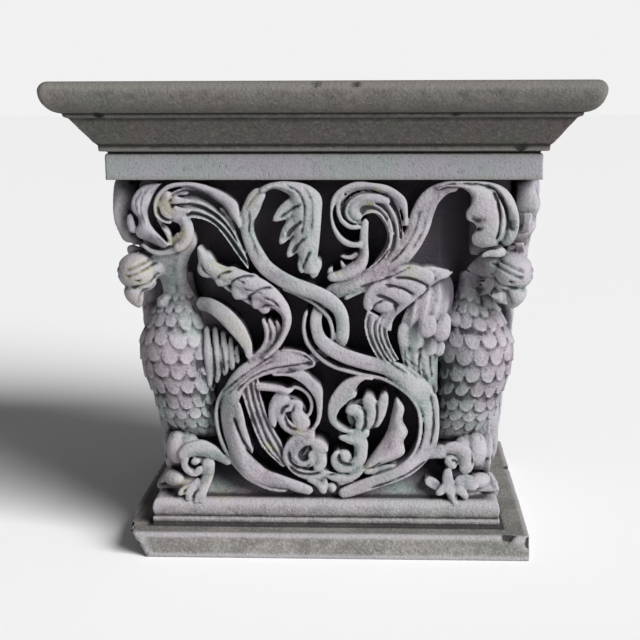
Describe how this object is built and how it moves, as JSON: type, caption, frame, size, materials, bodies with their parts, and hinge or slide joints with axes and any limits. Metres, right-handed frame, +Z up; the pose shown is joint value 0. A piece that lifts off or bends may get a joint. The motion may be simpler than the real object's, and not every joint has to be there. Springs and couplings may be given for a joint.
{
  "type": "cast stone pedestal",
  "caption": "Square cast stone pedestal carved like a capital with birds, knotted vines and leaves, under a moulded overhanging top slab.",
  "frame": {"origin": "on the floor, at the centre of the underside", "axes": "+Z up from the floor to the top face, -Y out of the front face, +X to the right seen from the front"},
  "size_m": [0.846, 0.846, 0.76],
  "materials": {
    "weathered_cast_stone": "cast stone, lavender grey, weathered and pitted, with yellow-green lichen and dark recesses",
    "weathered_cast_stone_slab": "cast stone, olive grey on the mouldings and blue grey on the fascia, weathered and pitted"
  },
  "bodies": {
    "root": {"stepped_plinth": "weathered_cast_stone", "carved_capital": "weathered_cast_stone", "top_slab": "weathered_cast_stone_slab"}
  },
  "joints": []
}
